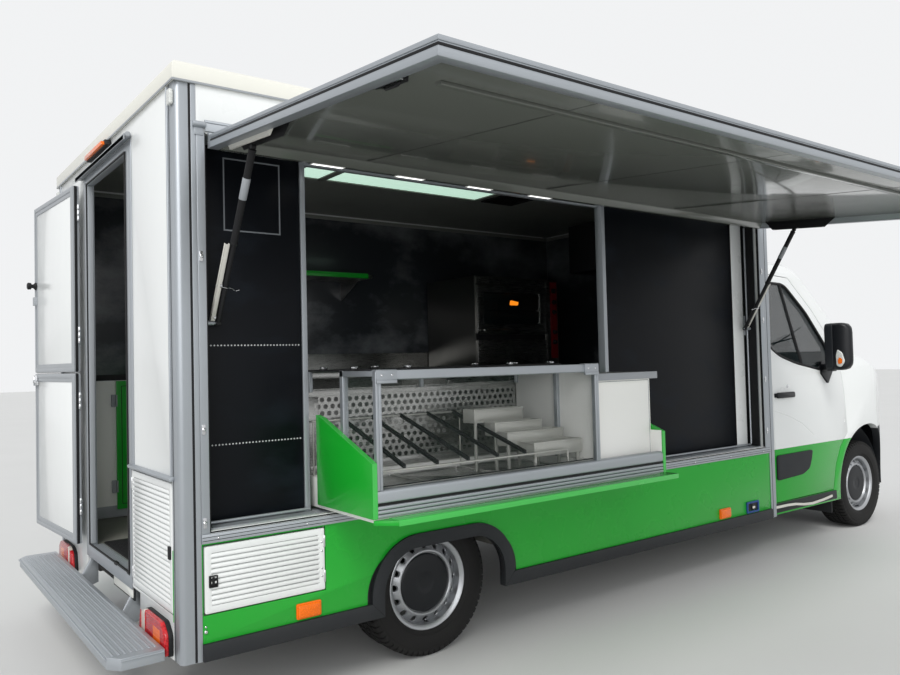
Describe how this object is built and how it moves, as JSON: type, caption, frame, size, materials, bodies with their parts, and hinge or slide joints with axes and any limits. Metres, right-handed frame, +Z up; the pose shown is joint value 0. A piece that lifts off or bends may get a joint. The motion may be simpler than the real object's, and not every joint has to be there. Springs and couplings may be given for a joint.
{
  "type": "food truck",
  "caption": "Food truck: low-floor shop body with a lifting side awning on gas struts, glazed display counter, split rear door, lockers, kitchen and a front-drive cab.",
  "frame": {"origin": "middle of the truck's own box with the awning open, on the ground", "axes": "+X forward along the truck, +Y to its left, +Z up"},
  "size_m": [6.6748, 3.9282, 2.6239],
  "materials": {
    "black_board": "matt blue-black",
    "black_plastic": "grained black",
    "black_steel": "satin black",
    "cab_trim": "grained dark grey",
    "cast_metal": "as cast",
    "clear_glass": "clear",
    "dark_panel": "gloss dark grey",
    "floor_board": "grey non-slip board",
    "green_paint": "gloss green",
    "grey_plastic": "matt grey",
    "lamp_clear": "clear",
    "lamp_red": "clear red",
    "roof_skin": "gloss cream white",
    "seat_fabric": "woven, dark grey",
    "silver_profile": "satin anodised",
    "silver_rim": "satin silver paint",
    "stainless": "brushed",
    "tinted_glass": "lightly tinted",
    "tyre": "matt black rubber",
    "white_panel": "gloss white"
  },
  "bodies": {
    "chassis": {"chassis_frame": "black_steel", "front_suspension": "black_steel", "rear_axle": "black_steel", "engine_block": "cast_metal", "fuel_tank": "black_plastic", "box_floor": "floor_board", "box_roof": "roof_skin", "left_wall": "white_panel", "right_wall": "white_panel", "end_walls": "white_panel", "body_frame": "silver_profile", "side_skirts": "black_plastic", "hatch_frame": "silver_profile", "menu_boards": "black_board", "corner_locker": "green_paint", "rear_step": "silver_profile", "tail_lamps": "lamp_red", "kitchen_units": "stainless", "oven": "stainless", "cab_shell": "green_paint", "windscreen": "tinted_glass", "front_bumper": "black_plastic", "headlamps": "lamp_clear", "cab_inside": "cab_trim", "cab_seats": "seat_fabric", "roof_light": "dark_panel"},
    "knuckle_left": {"knuckle_left": "cast_metal"},
    "knuckle_right": {"knuckle_right": "cast_metal"},
    "cab_door_left": {"door_left": "green_paint", "door_glass_left": "tinted_glass", "mirror_left": "black_plastic"},
    "cab_door_right": {"door_right": "green_paint", "door_glass_right": "tinted_glass", "mirror_right": "black_plastic"},
    "bonnet": {"bonnet": "green_paint"},
    "awning": {"awning_panel": "dark_panel", "awning_frame": "silver_profile"},
    "strut_tube_rear": {"strut_tube_rear": "black_steel"},
    "strut_tube_front": {"strut_tube_front": "black_steel"},
    "strut_rod_rear": {"strut_rod_rear": "silver_profile"},
    "strut_rod_front": {"strut_rod_front": "silver_profile"},
    "display": {"display_cheeks": "green_paint", "display_cabinet": "white_panel", "display_frame": "silver_profile", "display_glass": "clear_glass"},
    "rear_door_upper": {"rear_door_upper": "white_panel", "rear_door_upper_frame": "grey_plastic"},
    "rear_door_lower": {"rear_door_lower": "white_panel", "rear_door_lower_frame": "grey_plastic"},
    "locker_door_side": {"locker_door_side": "white_panel"},
    "locker_door_rear": {"locker_door_rear": "white_panel"},
    "wheel_front_left": {"rim_front_left": "silver_rim", "tyre_front_left": "tyre"},
    "wheel_front_right": {"rim_front_right": "silver_rim", "tyre_front_right": "tyre"},
    "wheel_rear_left": {"rim_rear_left": "silver_rim", "tyre_rear_left": "tyre"},
    "wheel_rear_right": {"rim_rear_right": "silver_rim", "tyre_rear_right": "tyre"}
  },
  "joints": [
    {"name": "steer_left", "type": "hinge", "parent": "chassis", "child": "knuckle_left", "pos_m": [2.4795, 1.41909, 0.346], "axis": [0, 0, 1], "range_deg": [-35, 35]},
    {"name": "steer_right", "type": "hinge", "parent": "chassis", "child": "knuckle_right", "pos_m": [2.4795, -0.07091, 0.346], "axis": [0, 0, 1], "range_deg": [-35, 35]},
    {"name": "wheel_front_left_spin", "type": "hinge", "parent": "knuckle_left", "child": "wheel_front_left", "pos_m": [2.4795, 1.52409, 0.346], "axis": [0, 1, 0], "continuous": true},
    {"name": "wheel_front_right_spin", "type": "hinge", "parent": "knuckle_right", "child": "wheel_front_right", "pos_m": [2.4795, -0.17591, 0.346], "axis": [0, 1, 0], "continuous": true},
    {"name": "wheel_rear_left_spin", "type": "hinge", "parent": "chassis", "child": "wheel_rear_left", "pos_m": [-1.8525, 1.52409, 0.346], "axis": [0, 1, 0], "continuous": true},
    {"name": "wheel_rear_right_spin", "type": "hinge", "parent": "chassis", "child": "wheel_rear_right", "pos_m": [-1.8525, -0.17591, 0.346], "axis": [0, 1, 0], "continuous": true},
    {"name": "cab_door_left_hinge", "type": "hinge", "parent": "chassis", "child": "cab_door_left", "pos_m": [2.0775, 1.70909, 0.9], "axis": [0, 0, -1], "range_deg": [0, 70]},
    {"name": "cab_door_right_hinge", "type": "hinge", "parent": "chassis", "child": "cab_door_right", "pos_m": [2.0775, -0.36091, 0.9], "axis": [0, 0, 1], "range_deg": [0, 70]},
    {"name": "bonnet_hinge", "type": "hinge", "parent": "chassis", "child": "bonnet", "pos_m": [2.6305, 0.67409, 1.392], "axis": [0, -1, 0], "range_deg": [0, 50]},
    {"name": "awning_hinge", "type": "hinge", "parent": "chassis", "child": "awning", "pos_m": [-1.0575, -0.42991, 2.338], "axis": [1, 0, 0], "range_deg": [0, 84.9]},
    {"name": "strut_rear_pivot", "type": "hinge", "parent": "chassis", "child": "strut_tube_rear", "pos_m": [-2.9115, -0.34591, 1.6], "axis": [1, 0, 0], "range_deg": [-31.24, 0]},
    {"name": "strut_rear_stroke", "type": "slide", "parent": "strut_tube_rear", "child": "strut_rod_rear", "axis": [0, -0.5185, 0.8551], "range_m": [-0.301, 0]},
    {"name": "strut_front_pivot", "type": "hinge", "parent": "chassis", "child": "strut_tube_front", "pos_m": [0.7965, -0.34591, 1.6], "axis": [1, 0, 0], "range_deg": [-31.24, 0]},
    {"name": "strut_front_stroke", "type": "slide", "parent": "strut_tube_front", "child": "strut_rod_front", "axis": [0, -0.5185, 0.8551], "range_m": [-0.301, 0]},
    {"name": "display_slide", "type": "slide", "parent": "chassis", "child": "display", "axis": [0, 1, 0], "range_m": [0, 0.53]},
    {"name": "rear_door_upper_hinge", "type": "hinge", "parent": "chassis", "child": "rear_door_upper", "pos_m": [-3.1335, 1.07409, 1.9], "axis": [0, 0, 1], "range_deg": [0, 176]},
    {"name": "rear_door_lower_hinge", "type": "hinge", "parent": "chassis", "child": "rear_door_lower", "pos_m": [-3.1335, 1.07409, 0.96], "axis": [0, 0, 1], "range_deg": [0, 176]},
    {"name": "locker_side_hinge", "type": "hinge", "parent": "chassis", "child": "locker_door_side", "pos_m": [-2.4935, -0.42191, 0.604], "axis": [0, 0, 1], "range_deg": [0, 110]},
    {"name": "locker_rear_hinge", "type": "hinge", "parent": "chassis", "child": "locker_door_rear", "pos_m": [-3.0995, 0.22209, 0.726], "axis": [0, 0, -1], "range_deg": [0, 95]}
  ],
  "couplings": [
    {"joint": "steer_right", "follows": "steer_left", "ratio": 1},
    {"joint": "strut_rear_pivot", "follows": "awning_hinge", "ratio": -0.36786},
    {"joint": "strut_rear_stroke", "follows": "awning_hinge", "m_per_rad": -0.2028},
    {"joint": "strut_front_pivot", "follows": "awning_hinge", "ratio": -0.36786},
    {"joint": "strut_front_stroke", "follows": "awning_hinge", "m_per_rad": -0.2028},
    {"joint": "display_slide", "follows": "awning_hinge", "m_per_rad": 0.3576}
  ]
}
